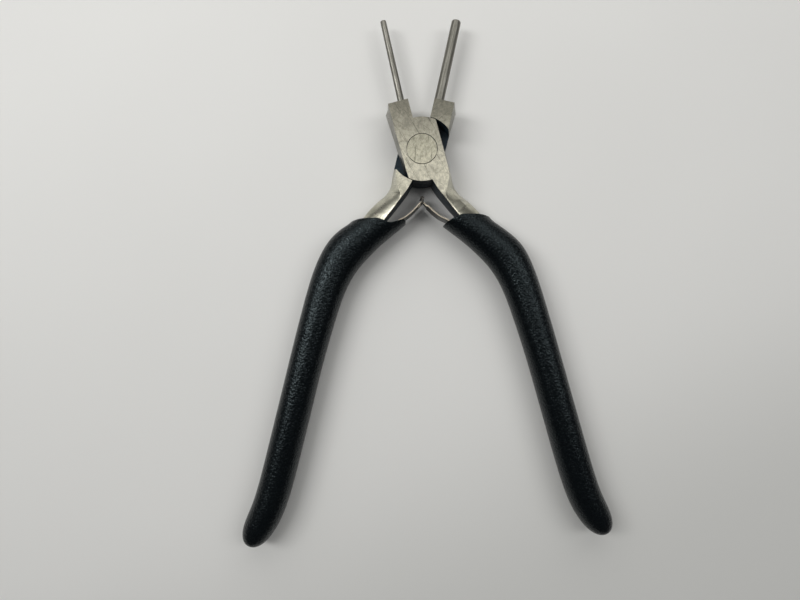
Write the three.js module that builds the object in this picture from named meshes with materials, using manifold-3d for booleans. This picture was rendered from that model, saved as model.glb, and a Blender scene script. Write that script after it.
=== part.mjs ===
// Round nose pliers with two round mandrel jaws, for looping wire.
// Two identical forged levers, one turned over, cross in a lap joint on a flush rivet.
// A double leaf spring between the handles holds them open, and soft plastic grips cover the tangs.
//
// Millimetres. +Z up, the tool lying flat. The rivet's axis is the Z axis and the back face is z = 0.
// Jaws point along +Y and handles along -Y. The model stands at its sprung-open rest.
// Every piece is drawn for the front lever with the tool closed: jaw at -X of the middle line,
// handle at +X.

import * as THREE from 'three';
import { mergeVertices } from 'three/addons/utils/BufferGeometryUtils.js';
import Module from 'manifold-3d';

const wasm = await Module();
wasm.setup();

// ---- driving dimensions ----

const HALF_OPEN = THREE.MathUtils.degToRad(13.75); // each lever's turn from closed to sprung open
const THICKNESS = 10.5;                            // head thickness, and height of the grips
const MID = THICKNESS / 2;                         // parting plane of the forgings
const LAP_GAP = 0.2;                               // between the two halves of the lap
const PART_LINE = 0.5;                             // half height of the band along the parting plane

const DISC_RADIUS = 8.9;        // half-thickness disc of the joint
const SHOULDER_RADIUS = 9.1;    // hollow shoulders that the other lever's disc turns in
const HEAD_HALF_FLAT = 5.85;    // half width of the ground flat face
const DRAFT = 0.75;             // how far the forged sides stand out at the parting plane
const JAW_GAP = 0.28;           // from each block's inner face to the middle line
const BLOCK_TOP = 14.4;

const RIVET_HEAD_RADIUS = 4.15;
const RIVET_SHANK_RADIUS = 3.0;
const RIVET_TAIL_RADIUS = 3.6;
const RIVET_HEAD_HEIGHT = 2.2;
const RIVET_TAIL_HEIGHT = 1.2;
const RIVET_FIT = 0.15;

const PIN_FIT = 0.15;           // around a jaw rod in its block
const PIN_TAIL = 4.3;           // length of rod inside the block
const PIN_END_CHAMFER = 0.3;
const THIN_PIN = {
  baseRadius: 0.97, tipRadius: 0.83, foot: [-1.87, BLOCK_TOP], tip: [-0.96, 39.4], sides: 24,
};
const THICK_PIN = {
  baseRadius: 1.4, tipRadius: 1.33, foot: [-1.6, BLOCK_TOP], tip: [-1.43, 39.15], sides: 32,
};

const LEAF_THICKNESS = 0.45;
const LEAF_WIDTH = 6.4;
const LEAF_FOOT_WIDTH = 4.6;
const LEAF_SLOT_WIDTH = 3.3;
const LEAF_NECK_WIDTH = 2.6;
const LEAF_HOOK_LENGTH = 2.1;   // length of the slot, and of the neck that runs in it
const LEAF_CURL_RADIUS = 0.42;
const LEAF_CURL_WIDTH = 4.0;
const LEAF_CURL_FROM_END = [0.1, 0.9]; // centre of the curl from the end of the leaf's centre line
const LEAF_ROOT = [8.0, -28.0]; // centre of the leaf's rivet, where it flexes
const LEAF_TURN = THREE.MathUtils.degToRad(-13); // its turn towards the tang as the tool closes
const LEAF_FOOT_END = 0.42;     // share of the leaf's length that is its narrow foot
const LEAF_OVERLAP = 0.05;      // how far the wide blade reaches back over the foot, as a share of length
const LEAF_ROOM = 0.33;         // kept clear round the leaf where it swings inside the grip
const LEAF_ROOM_OVERLAP = 0.08; // the same two for the room kept round the leaf
const LEAF_ROOM_END = 0.9;      // share of the leaf's length that can lie inside the grip

const SPRING_RIVET = {
  radius: 0.8,
  headRadius: 1.4,
  headTopRadius: 0.84,
  headHeight: 0.45,
  headGap: 0.4,    // from the leaf to the head
  holeGap: 0.35,   // round the shank in the leaf
  seatGap: 0.2,    // round the shank in the tang
  endGap: 1,       // past the shank's end in the tang
  depth: 3.2,
  sides: 20,
};
const SPRING_RIVET_ANGLE = THREE.MathUtils.degToRad(20); // its axis, square to the tang's inner face

const TANG_END = 0.985;         // where the tang ends along its ribs; its socket in the grip runs to 1
const SOCKET_START = 0.28;
const GRIP_HALF_HEIGHT = MID;
const GRIP_FIT = 0.3;           // between a grip and its tang
const GRIP_SIDES = 24;
const GRIP_RINGS = 32;
const GRIP_SLIP = 0.9;          // how far the left grip stands back from even, and the right one forward
const GRIP_SLIP_GAIN = 1.4;     // the slip is complete where the squared share of ribs times this reaches 1
const GRIP_END_FROM = 0.86;     // where the grip starts to get thinner towards its end
const GRIP_END_THINNING = 0.75; // share of the squared height lost at the very end

const UP = new THREE.Vector3(0, 0, 1);

// ---- solids ----

function solidFrom(geometry) {
  const bare = geometry.clone();
  bare.deleteAttribute('normal');
  bare.deleteAttribute('uv');
  const merged = mergeVertices(bare, 1e-4);
  const vertProperties = new Float32Array(merged.attributes.position.array);
  const triVerts = new Uint32Array(merged.index.array);
  return new wasm.Manifold(new wasm.Mesh({ numProp: 3, vertProperties, triVerts }));
}

function geometryFrom(solid) {
  const mesh = solid.getMesh();
  const geometry = new THREE.BufferGeometry();
  geometry.setAttribute('position', new THREE.BufferAttribute(new Float32Array(mesh.vertProperties), 3));
  geometry.setIndex(new THREE.BufferAttribute(new Uint32Array(mesh.triVerts), 1));
  const flat = geometry.toNonIndexed();
  flat.computeVertexNormals();
  return flat;
}

// A solid skinned over rings of equally many points, each ring counterclockwise seen from past the last
// ring, with flat ends that may be any simple outline.
function skin(rings, endOutline) {
  const count = rings[0].length;
  const positions = [];
  rings.forEach((ring) => ring.forEach((point) => positions.push(point.x, point.y, point.z)));
  const index = [];
  for (let r = 0; r + 1 < rings.length; r += 1) {
    for (let i = 0; i < count; i += 1) {
      const a = r * count + i;
      const b = r * count + ((i + 1) % count);
      index.push(a, b, b + count, a, b + count, a + count);
    }
  }
  const last = (rings.length - 1) * count;
  THREE.ShapeUtils.triangulateShape(endOutline, []).forEach(([a, b, c]) => {
    index.push(a, c, b);
    index.push(last + a, last + b, last + c);
  });
  const geometry = new THREE.BufferGeometry();
  geometry.setAttribute('position', new THREE.Float32BufferAttribute(positions, 3));
  geometry.setIndex(index);
  return solidFrom(geometry);
}

function prism(outline, low, high) {
  const shape = new THREE.Shape(outline);
  const geometry = new THREE.ExtrudeGeometry(shape, { depth: high - low, bevelEnabled: false, steps: 1 });
  geometry.translate(0, 0, low);
  return solidFrom(geometry);
}

function disc(radius, low, high, sides = 80) {
  const geometry = new THREE.CylinderGeometry(radius, radius, high - low, sides);
  geometry.rotateX(Math.PI / 2);
  geometry.translate(0, 0, (low + high) / 2);
  return solidFrom(geometry);
}

// A turned solid whose axis starts at foot and points along angle (from +Y) in the tool's plane.
function turned(profile, sides, foot, angle) {
  const geometry = new THREE.LatheGeometry(profile.map(([r, y]) => new THREE.Vector2(r, y)), sides);
  geometry.rotateZ(angle);
  geometry.translate(foot[0], foot[1], MID);
  return solidFrom(geometry);
}

function arc(radius, from, to, steps) {
  const points = [];
  for (let i = 0; i <= steps; i += 1) {
    const angle = from + ((to - from) * i) / steps;
    points.push([radius * Math.cos(angle), radius * Math.sin(angle)]);
  }
  return points;
}

// ---- levers ----

// Corners of the head, counterclockwise: [flat face x, y, parting plane x, y].
function headOutline() {
  const side = HEAD_HALF_FLAT;
  const out = side + DRAFT;
  const corners = [
    [-JAW_GAP, BLOCK_TOP, -JAW_GAP, BLOCK_TOP],
    [-side - 0.1, BLOCK_TOP, -side - 0.3, BLOCK_TOP],
    [-side - 0.1, 12.9, -7.05, 13.0],
    [-side - 0.1, 6.5, -out - 0.05, 6.5],
    [-side, 1.6, -out + 0.1, 1.6],
    [-side + 0.1, -4.9, -out + 0.4, -4.9],
  ];
  const lowLeft = Math.PI + Math.acos(5.6 / DISC_RADIUS);
  const lowRight = 1.5 * Math.PI + 0.12;
  arc(DISC_RADIUS, lowLeft, lowRight, 10).forEach(([x, y]) => corners.push([x, y, x, y]));
  corners.push([side - 0.13, -6.5, side + DRAFT, -6.5]);
  corners.push([side - 0.13, 6.0, side + DRAFT - 0.1, 5.6]);
  const highRight = Math.acos((side - 0.2) / DISC_RADIUS);
  const highLeft = Math.acos(-JAW_GAP / DISC_RADIUS);
  arc(DISC_RADIUS, highRight, highLeft, 12).forEach(([x, y]) => corners.push([x, y, x, y]));
  return corners;
}

function headSolid() {
  const corners = headOutline();
  const layer = (flat, z) => corners.map(([fx, fy, sx, sy]) => (
    flat ? new THREE.Vector3(fx, fy, z) : new THREE.Vector3(sx, sy, z)
  ));
  const rings = [
    layer(true, 0),
    layer(false, MID - PART_LINE),
    layer(false, MID + PART_LINE),
    layer(true, THICKNESS),
  ];
  return skin(rings, corners.map(([fx, fy]) => new THREE.Vector2(fx, fy)));
}

// Ribs across the shank and tang, from the joint to the tang's end: inner edge, edge of the flat top,
// outer edge, half the height, and how far the outer side is rounded.
const HANDLE_RIBS = [
  { inner: [-0.5, -6.5], flat: [5.72, -6.5], outer: [6.6, -6.5], half: 5.25, round: 0 },
  { inner: [0.65, -9.05], flat: [5.4, -9.1], outer: [6.5, -9.1], half: 5.25, round: 0 },
  { inner: [1.45, -11.6], flat: [4.2, -11.7], outer: [6.4, -11.5], half: 5.25, round: 0.3 },
  { inner: [2.5, -14.0], flat: [3.0, -14.0], outer: [7.25, -14.0], half: 5.2, round: 0.8 },
  { inner: [3.8, -16.9], flat: [4.2, -16.7], outer: [8.95, -16.3], half: 4.9, round: 1 },
  { inner: [5.1, -19.6], flat: [5.5, -19.5], outer: [10.7, -19.0], half: 4.45, round: 1 },
  { inner: [6.2, -21.9], flat: [6.65, -21.8], outer: [12.1, -21.7], half: 4.0, round: 1 },
  { inner: [8.0, -26.0], flat: [8.6, -25.9], outer: [14.0, -24.8], half: 3.4, round: 1 },
  { inner: [10.1, -31.6], flat: [10.8, -31.3], outer: [15.3, -29.5], half: 3.0, round: 1 },
  { inner: [13.2, -36.2], flat: [14.0, -35.8], outer: [18.0, -33.9], half: 2.9, round: 1 },
  { inner: [15.0, -40.9], flat: [15.9, -40.7], outer: [20.0, -39.6], half: 2.8, round: 1 },
  { inner: [15.6, -46.3], flat: [16.6, -46.2], outer: [20.6, -45.9], half: 2.8, round: 1 },
  { inner: [16.4, -64.0], flat: [17.4, -64.0], outer: [21.3, -63.8], half: 2.7, round: 1 },
  { inner: [16.8, -83.0], flat: [17.8, -83.0], outer: [21.5, -82.9], half: 2.6, round: 1 },
  { inner: [17.4, -105.0], flat: [18.3, -105.0], outer: [21.8, -104.6], half: 2.5, round: 1 },
];
// Where the outer side's rounding stands out most: its place from the flat to the outer edge,
// and its height as a share of half the height.
const CROWN_ACROSS = 0.6;
const CROWN_HEIGHT = 0.7;

function curveThrough(points) {
  return new THREE.CatmullRomCurve3(points, false, 'centripetal');
}

// The bar of the shank and tang between two places along its ribs, grown by a margin all round.
function handleBar(from, to, steps, margin) {
  const curves = ['inner', 'flat', 'outer'].map((edge) => (
    curveThrough(HANDLE_RIBS.map((rib) => new THREE.Vector3(rib[edge][0], rib[edge][1], rib.half)))
  ));
  const rounding = curveThrough(HANDLE_RIBS.map((rib, i) => new THREE.Vector3(i, rib.round, 0)));
  const rings = [];
  for (let i = 0; i <= steps; i += 1) {
    const t = from + ((to - from) * i) / steps;
    const [inner, flat, outer] = curves.map((curve) => curve.getPoint(t));
    const half = Math.min(inner.z, MID) + margin;
    const across = new THREE.Vector3(outer.x - inner.x, outer.y - inner.y, 0).normalize();
    const start = inner.clone().addScaledVector(across, -margin);
    const end = outer.clone().addScaledVector(across, margin);
    const band = PART_LINE + margin;
    const crown = flat.clone().lerp(end, CROWN_ACROSS);
    const straight = THREE.MathUtils.lerp(half, band, CROWN_ACROSS);
    const round = THREE.MathUtils.clamp(rounding.getPoint(t).y, 0, 1);
    const rise = THREE.MathUtils.lerp(straight, half * CROWN_HEIGHT, round);
    rings.push([
      new THREE.Vector3(start.x, start.y, MID + half),
      new THREE.Vector3(start.x, start.y, MID - half),
      new THREE.Vector3(flat.x, flat.y, MID - half),
      new THREE.Vector3(crown.x, crown.y, MID - rise),
      new THREE.Vector3(end.x, end.y, MID - band),
      new THREE.Vector3(end.x, end.y, MID + band),
      new THREE.Vector3(crown.x, crown.y, MID + rise),
      new THREE.Vector3(flat.x, flat.y, MID + half),
    ]);
  }
  const octagon = [[0, 1], [0, -1], [0.4, -1], [0.8, -0.8], [1, -0.3], [1, 0.3], [0.8, 0.8], [0.4, 1]];
  return skin(rings, octagon.map(([x, y]) => new THREE.Vector2(x, y)));
}

function rivetProfile(margin, over) {
  const shank = RIVET_SHANK_RADIUS + margin;
  const head = RIVET_HEAD_RADIUS + margin;
  const tail = RIVET_TAIL_RADIUS + margin;
  const tailTop = RIVET_TAIL_HEIGHT + margin;
  const headFoot = THICKNESS - RIVET_HEAD_HEIGHT - margin;
  return [
    [0, -over], [tail, -over], [tail, tailTop], [shank, tailTop],
    [shank, headFoot], [head, headFoot], [head, THICKNESS + over], [0, THICKNESS + over],
  ];
}

function rivetSolid(margin, over) {
  const profile = rivetProfile(margin, over).map(([r, z]) => new THREE.Vector2(r, z));
  const geometry = new THREE.LatheGeometry(profile, 64);
  geometry.rotateX(Math.PI / 2);
  return solidFrom(geometry);
}

function leafRivetHole() {
  const radius = SPRING_RIVET.radius + SPRING_RIVET.seatGap;
  const depth = SPRING_RIVET.depth + SPRING_RIVET.endGap;
  return springRivetTurned([[0, 0], [radius, 0], [radius, depth], [0, depth]]);
}

function leverSolid(pin, turnedOver) {
  const seat = pinTurned(pin, PIN_FIT, PIN_FIT, BLOCK_TOP + 2);
  const lap = disc(SHOULDER_RADIUS, -1, MID + LAP_GAP / 2);
  const rivet = turnedOver
    ? rivetSolid(RIVET_FIT, 1).rotate([0, 180, 0]).translate([0, 0, THICKNESS])
    : rivetSolid(RIVET_FIT, 1);
  return headSolid()
    .add(handleBar(0, TANG_END, 56, 0))
    .subtract(lap)
    .subtract(rivet)
    .subtract(seat)
    .subtract(leafRivetHole());
}

// ---- jaw rods ----

function pinAngle(pin) {
  return -Math.atan2(pin.tip[0] - pin.foot[0], pin.tip[1] - pin.foot[1]);
}

// The rod grown by a margin; a seat for it stops short of the tip.
function pinTurned(pin, margin, below, seatTop) {
  const length = Math.hypot(pin.tip[0] - pin.foot[0], pin.tip[1] - pin.foot[1]);
  const base = pin.baseRadius + margin;
  const foot = -PIN_TAIL - below;
  const profile = seatTop
    ? [[0, foot], [base, foot], [base, seatTop - BLOCK_TOP], [0, seatTop - BLOCK_TOP]]
    : [
      [0, foot], [base - PIN_END_CHAMFER, foot], [base, foot + PIN_END_CHAMFER], [base, 0],
      [pin.tipRadius, length - PIN_END_CHAMFER], [pin.tipRadius - PIN_END_CHAMFER, length], [0, length],
    ];
  return turned(profile, pin.sides, pin.foot, pinAngle(pin));
}

// ---- spring ----

// Centre line of a leaf, from its foot under the grip to where the two leaves cross.
function leafCurve() {
  const points = [
    [8.75, -30.1], LEAF_ROOT, [5.25, -24.5], [2.32, -20.8], [0.53, -19.25],
    [-0.86, -17.6], [-1.93, -15.85], [-3.3, -13.55],
  ];
  return curveThrough(points.map(([x, y]) => new THREE.Vector3(x, y, 0)));
}

// Outline of a strip along part of a curve, reaching the given distances to its two sides.
function strip(curve, from, to, left, right, steps = 28) {
  const sides = [[], []];
  for (let i = 0; i <= steps; i += 1) {
    const u = from + ((to - from) * i) / steps;
    const point = curve.getPointAt(u);
    const along = curve.getTangentAt(u);
    sides[0].push(new THREE.Vector2(point.x - along.y * left, point.y + along.x * left));
    sides[1].push(new THREE.Vector2(point.x + along.y * right, point.y - along.x * right));
  }
  return sides[1].concat(sides[0].reverse());
}

function leafBlade() {
  const curve = leafCurve();
  const half = LEAF_THICKNESS / 2;
  const foot = prism(
    strip(curve, 0, LEAF_FOOT_END, half, half),
    MID - LEAF_FOOT_WIDTH / 2,
    MID + LEAF_FOOT_WIDTH / 2,
  );
  const blade = prism(
    strip(curve, LEAF_FOOT_END - LEAF_OVERLAP, 1, half, half),
    MID - LEAF_WIDTH / 2,
    MID + LEAF_WIDTH / 2,
  );
  const holeRadius = SPRING_RIVET.radius + SPRING_RIVET.holeGap;
  const hole = springRivetTurned([[0, -2], [holeRadius, -2], [holeRadius, 2], [0, 2]]);
  return foot.add(blade).subtract(hole);
}

// The last stretch of the leaf, thicker than the leaf so that it cuts cleanly.
function leafEnd(low, high) {
  const curve = leafCurve();
  const from = 1 - LEAF_HOOK_LENGTH / curve.getLength();
  const outline = strip(curve, from, 1, 1, 1, 6);
  return prism(outline, low, high);
}

function slottedLeafSolid() {
  return leafBlade().subtract(leafEnd(MID - LEAF_SLOT_WIDTH / 2, MID + LEAF_SLOT_WIDTH / 2));
}

function hookedLeafSolid() {
  const neck = LEAF_NECK_WIDTH / 2;
  const end = leafCurve().getPointAt(1);
  const curlCentre = new THREE.Vector2(end.x + LEAF_CURL_FROM_END[0], end.y + LEAF_CURL_FROM_END[1]);
  const half = LEAF_THICKNESS / 2;
  const stem = prism([
    new THREE.Vector2(end.x - half, end.y - half),
    new THREE.Vector2(end.x + half, end.y - half / 2),
    new THREE.Vector2(curlCentre.x + half, curlCentre.y),
    new THREE.Vector2(curlCentre.x - half, curlCentre.y),
  ], MID - neck, MID + neck);
  const curl = disc(LEAF_CURL_RADIUS, MID - LEAF_CURL_WIDTH / 2, MID + LEAF_CURL_WIDTH / 2, 20)
    .translate([curlCentre.x, curlCentre.y, 0]);
  return leafBlade()
    .subtract(leafEnd(-1, MID - neck))
    .subtract(leafEnd(MID + neck, THICKNESS + 1))
    .add(stem)
    .add(curl);
}

// A turned solid on the spring rivet's axis: y runs from the leaf's middle into the tang.
function springRivetTurned(profile) {
  return turned(profile, SPRING_RIVET.sides, LEAF_ROOT, SPRING_RIVET_ANGLE - Math.PI / 2);
}

function springRivetSolid() {
  const { radius, headRadius, headTopRadius, headHeight, headGap, depth } = SPRING_RIVET;
  const headFoot = -LEAF_THICKNESS / 2 - headGap;
  return springRivetTurned([
    [0, headFoot - headHeight], [headTopRadius, headFoot - headHeight],
    [headRadius, headFoot], [radius, headFoot], [radius, depth], [0, depth],
  ]);
}

// ---- grips ----

// Ribs across a grip, from its mouth to its end: inner edge and outer edge.
const GRIP_RIBS = [
  { inner: [-2.0, -17.8], outer: [12.2, -19.8] },
  { inner: [-0.1, -20.7], outer: [13.7, -22.4] },
  { inner: [2.7, -24.4], outer: [15.4, -24.4] },
  { inner: [5.6, -28.1], outer: [17.2, -26.2] },
  { inner: [8.2, -32.2], outer: [19.3, -28.9] },
  { inner: [10.6, -36.4], outer: [21.3, -32.9] },
  { inner: [12.1, -41.0], outer: [22.6, -38.8] },
  { inner: [13.0, -46.0], outer: [23.1, -45.0] },
  { inner: [13.6, -54.0], outer: [23.4, -53.6] },
  { inner: [14.2, -64.0], outer: [23.65, -63.8] },
  { inner: [14.4, -77.0], outer: [23.85, -76.9] },
  { inner: [14.6, -90.0], outer: [24.1, -89.9] },
  { inner: [14.85, -101.0], outer: [24.3, -100.6] },
  { inner: [15.6, -108.6], outer: [24.8, -107.2] },
  { inner: [16.9, -113.0], outer: [25.7, -111.2] },
  { inner: [18.2, -116.1], outer: [26.1, -114.6] },
  { inner: [19.9, -118.0], outer: [25.6, -116.9] },
  { inner: [21.6, -118.9], outer: [24.3, -118.4] },
];
// Rims of the two mouths. The left one dips beside the shank and reaches out in a tongue under the leaf.
const RIGHT_RIM = [
  [-4.0, -22.6], [-0.5, -22.2], [1.3, -21.3], [3.3, -20.6], [6.2, -20.1],
  [11.4, -21.3], [14.1, -22.5], [18.0, -24.6],
];
const LEFT_RIM = [
  [-4.0, -22.4], [-0.9, -21.3], [-0.1, -20.2], [0.8, -19.6], [2.3, -20.7], [4.1, -21.8], [5.6, -21.6],
  [7.6, -21.3], [12.6, -22.5], [15.1, -23.6], [18.0, -25.2],
];
const GRIP_MOUTH_SQUARENESS = 4;
const GRIP_SQUARENESS = 2.5;
const GRIP_SQUARE_TO = 0.1;     // share of the ribs where the mouth's squarer section ends
const GRIP_ROUND_FROM = 0.4;    // and where the rounder one is reached

function superellipse(angle, power) {
  const c = Math.cos(angle);
  const s = Math.sin(angle);
  return [
    Math.sign(c) * Math.abs(c) ** (2 / power),
    Math.sign(s) * Math.abs(s) ** (2 / power),
  ];
}

function gripOutside(slip) {
  const slid = GRIP_RIBS.map((rib, i) => {
    const share = i / (GRIP_RIBS.length - 1);
    const shift = slip * Math.min(1, share * share * GRIP_SLIP_GAIN);
    return {
      inner: new THREE.Vector3(rib.inner[0], rib.inner[1] - shift, 0),
      outer: new THREE.Vector3(rib.outer[0], rib.outer[1] - shift, 0),
    };
  });
  const inner = curveThrough(slid.map((rib) => rib.inner));
  const outer = curveThrough(slid.map((rib) => rib.outer));
  const rings = [];
  for (let i = 0; i <= GRIP_RINGS; i += 1) {
    const t = i / GRIP_RINGS;
    const a = inner.getPoint(t);
    const b = outer.getPoint(t);
    const centre = a.clone().add(b).multiplyScalar(0.5);
    const reach = b.clone().sub(a).multiplyScalar(0.5);
    const fromMouth = THREE.MathUtils.smoothstep(t, GRIP_SQUARE_TO, GRIP_ROUND_FROM);
    const power = THREE.MathUtils.lerp(GRIP_MOUTH_SQUARENESS, GRIP_SQUARENESS, fromMouth);
    const nearEnd = Math.max(0, (t - GRIP_END_FROM) / (1 - GRIP_END_FROM));
    const taper = Math.sqrt(1 - nearEnd * nearEnd * GRIP_END_THINNING);
    const ring = [];
    for (let k = 0; k < GRIP_SIDES; k += 1) {
      const [across, up] = superellipse((2 * Math.PI * k) / GRIP_SIDES, power);
      ring.push(new THREE.Vector3(
        centre.x + reach.x * across,
        centre.y + reach.y * across,
        MID + GRIP_HALF_HEIGHT * taper * up,
      ));
    }
    rings.push(ring);
  }
  const outline = rings[0].map((point, k) => {
    const [across, up] = superellipse((2 * Math.PI * k) / GRIP_SIDES, 2);
    return new THREE.Vector2(across, up);
  });
  return skin(rings, outline);
}

// Outline that a stretch of the leaf sweeps as it turns about its root, with room all round.
function leafSweep(from, to, steps) {
  const curve = leafCurve();
  const root = new THREE.Vector3(LEAF_ROOT[0], LEAF_ROOT[1], 0);
  const clear = LEAF_THICKNESS / 2 + LEAF_ROOM;
  const sides = [[], []];
  for (let i = 0; i <= steps; i += 1) {
    const u = from + ((to - from) * i) / steps;
    const along = curve.getTangentAt(u);
    const point = curve.getPointAt(u);
    if (u === 0) point.addScaledVector(along, -LEAF_ROOM);
    const places = [0, LEAF_TURN].map((turn) => {
      const place = point.clone().sub(root).applyAxisAngle(UP, turn).add(root);
      const side = along.clone().applyAxisAngle(UP, turn + Math.PI / 2);
      return { place, side };
    });
    if (places[1].place.clone().sub(places[0].place).dot(places[0].side) > 0) places.reverse();
    const left = places[0].place.clone().addScaledVector(places[0].side, clear);
    const right = places[1].place.clone().addScaledVector(places[1].side, -clear);
    sides[0].push(new THREE.Vector2(left.x, left.y));
    sides[1].push(new THREE.Vector2(right.x, right.y));
  }
  return sides[1].concat(sides[0].reverse());
}

// Room in the grip for the leaf from rest to closed, and for its rivet's head.
function leafPocket() {
  const halfWidth = (width) => width / 2 + LEAF_ROOM;
  const foot = prism(
    leafSweep(0, LEAF_FOOT_END, 12),
    MID - halfWidth(LEAF_FOOT_WIDTH),
    MID + halfWidth(LEAF_FOOT_WIDTH),
  );
  const blade = prism(
    leafSweep(LEAF_FOOT_END - LEAF_ROOM_OVERLAP, LEAF_ROOM_END, 16),
    MID - halfWidth(LEAF_WIDTH),
    MID + halfWidth(LEAF_WIDTH),
  );
  const headRoom = SPRING_RIVET.headRadius + GRIP_FIT;
  const headTop = -LEAF_THICKNESS / 2 - SPRING_RIVET.headGap - SPRING_RIVET.headHeight - GRIP_FIT;
  const head = springRivetTurned([
    [0, headTop], [headRoom, headTop], [headRoom, LEAF_THICKNESS], [0, LEAF_THICKNESS],
  ]);
  return foot.add(blade).add(head);
}

// Everything past the rim of a mouth, whose points run from the inner side to the outer side.
function pastMouth(rim) {
  const curve = new THREE.SplineCurve(rim.map(([x, y]) => new THREE.Vector2(x, y)));
  const outline = curve.getPoints(30);
  outline.push(new THREE.Vector2(20, -10), new THREE.Vector2(-6, -10));
  return prism(outline, -1, THICKNESS + 1);
}

function gripSolid(slip, rim) {
  const socket = handleBar(SOCKET_START, 1, 40, GRIP_FIT);
  return gripOutside(slip).subtract(pastMouth(rim)).subtract(socket).subtract(leafPocket());
}

// ---- materials ----

const steel = new THREE.MeshStandardMaterial({ color: 0xb9b6a8, roughness: 0.38, metalness: 0.9 });
const rodSteel = new THREE.MeshStandardMaterial({ color: 0x9d9a8e, roughness: 0.35, metalness: 0.9 });
const rivetSteel = new THREE.MeshStandardMaterial({ color: 0xbebba8, roughness: 0.4, metalness: 0.9 });
const springSteel = new THREE.MeshStandardMaterial({ color: 0x6d675c, roughness: 0.35, metalness: 0.85 });
const softPlastic = new THREE.MeshStandardMaterial({ color: 0x15181b, roughness: 0.5, metalness: 0.0 });

function piece(name, solid, material) {
  const mesh = new THREE.Mesh(geometryFrom(solid), material);
  mesh.name = name;
  return mesh;
}

// ---- assembly ----

const pliers = new THREE.Group();

const frontHalf = new THREE.Group();
frontHalf.rotation.z = HALF_OPEN;
frontHalf.add(
  piece('front_lever', leverSolid(THIN_PIN, false), steel),
  piece('thin_jaw_pin', pinTurned(THIN_PIN, 0, 0), rodSteel),
  piece('right_spring_leaf', hookedLeafSolid(), springSteel),
  piece('right_spring_rivet', springRivetSolid(), rivetSteel),
  piece('right_grip', gripSolid(-GRIP_SLIP, RIGHT_RIM), softPlastic),
);

const backHalf = new THREE.Group();
backHalf.rotation.z = -HALF_OPEN;
const turnedOver = new THREE.Group();
turnedOver.rotation.y = Math.PI;
turnedOver.position.z = THICKNESS;
turnedOver.add(
  piece('back_lever', leverSolid(THICK_PIN, true), steel),
  piece('thick_jaw_pin', pinTurned(THICK_PIN, 0, 0), rodSteel),
  piece('left_spring_leaf', slottedLeafSolid(), springSteel),
  piece('left_spring_rivet', springRivetSolid(), rivetSteel),
  piece('left_grip', gripSolid(GRIP_SLIP, LEFT_RIM), softPlastic),
);
backHalf.add(turnedOver);

pliers.add(frontHalf, backHalf, piece('pivot_rivet', rivetSolid(0, 0), rivetSteel));

export default pliers;
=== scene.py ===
import math

import bmesh
import bpy
from mathutils import Matrix, Vector


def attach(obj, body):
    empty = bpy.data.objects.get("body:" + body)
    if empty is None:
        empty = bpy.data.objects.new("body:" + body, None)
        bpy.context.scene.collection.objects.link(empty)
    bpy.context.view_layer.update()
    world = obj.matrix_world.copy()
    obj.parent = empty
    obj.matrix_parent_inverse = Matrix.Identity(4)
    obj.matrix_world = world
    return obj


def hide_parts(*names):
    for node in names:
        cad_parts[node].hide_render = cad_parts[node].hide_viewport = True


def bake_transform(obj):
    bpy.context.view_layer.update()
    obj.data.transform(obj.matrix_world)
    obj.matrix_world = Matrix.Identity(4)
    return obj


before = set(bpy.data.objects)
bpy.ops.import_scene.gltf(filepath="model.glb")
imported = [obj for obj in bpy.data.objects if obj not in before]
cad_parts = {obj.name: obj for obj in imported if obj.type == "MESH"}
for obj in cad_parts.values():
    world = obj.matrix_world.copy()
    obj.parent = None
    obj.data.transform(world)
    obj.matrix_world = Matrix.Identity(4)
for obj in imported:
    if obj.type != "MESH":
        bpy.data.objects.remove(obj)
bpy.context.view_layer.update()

# Round nose pliers lying flat, sprung open. Metres, +Z up, rivet axis on Z, back face on z = 0.

MM = 0.001
HALF_OPEN = math.radians(13.75)
THICKNESS = 10.5 * MM
MID = THICKNESS / 2

# From a lever's own closed frame (jaw at -X, handle at +X, plan in mm) to its place at rest.
FRONT = Matrix.Rotation(HALF_OPEN, 4, "Z")
BACK = (
    Matrix.Rotation(-HALF_OPEN, 4, "Z")
    @ Matrix.Translation((0, 0, THICKNESS))
    @ Matrix.Rotation(math.pi, 4, "Y")
)


# ---- node helpers ----

def node(material, kind, **values):
    made = material.node_tree.nodes.new(kind)
    for key, value in values.items():
        if key in made.inputs:
            made.inputs[key].default_value = value
        else:
            setattr(made, key, value)
    return made


def link(material, source, target):
    material.node_tree.links.new(source, target)


def new_material(name, **values):
    material = bpy.data.materials.new(name)
    material.use_nodes = True
    shader = material.node_tree.nodes["Principled BSDF"]
    for key, value in values.items():
        shader.inputs[key.replace("_", " ")].default_value = value
    return material, shader


def object_place(material, scale=(1, 1, 1), turn=0.0):
    """Object coordinates turned about Z, then stretched."""
    place = node(material, "ShaderNodeTexCoord")
    turned = node(material, "ShaderNodeMapping")
    turned.inputs["Rotation"].default_value = (0, 0, turn)
    stretched = node(material, "ShaderNodeMapping")
    stretched.inputs["Scale"].default_value = scale
    link(material, place.outputs["Object"], turned.inputs["Vector"])
    link(material, turned.outputs["Vector"], stretched.inputs["Vector"])
    return stretched.outputs["Vector"]


def noise(material, vector, scale=1.0, detail=3.0, roughness=0.55, distortion=0.0):
    made = node(material, "ShaderNodeTexNoise")
    made.inputs["Scale"].default_value = scale
    made.inputs["Detail"].default_value = detail
    made.inputs["Roughness"].default_value = roughness
    made.inputs["Distortion"].default_value = distortion
    link(material, vector, made.inputs["Vector"])
    return made.outputs["Fac"]


def ramp(material, factor, stops):
    made = node(material, "ShaderNodeValToRGB")
    elements = made.color_ramp.elements
    while len(elements) < len(stops):
        elements.new(0.5)
    for element, (position, colour) in zip(elements, stops):
        element.position = position
        element.color = (*colour, 1) if len(colour) == 3 else colour
    link(material, factor, made.inputs["Fac"])
    return made.outputs["Color"]


def grey(value):
    return (value, value, value)


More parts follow.
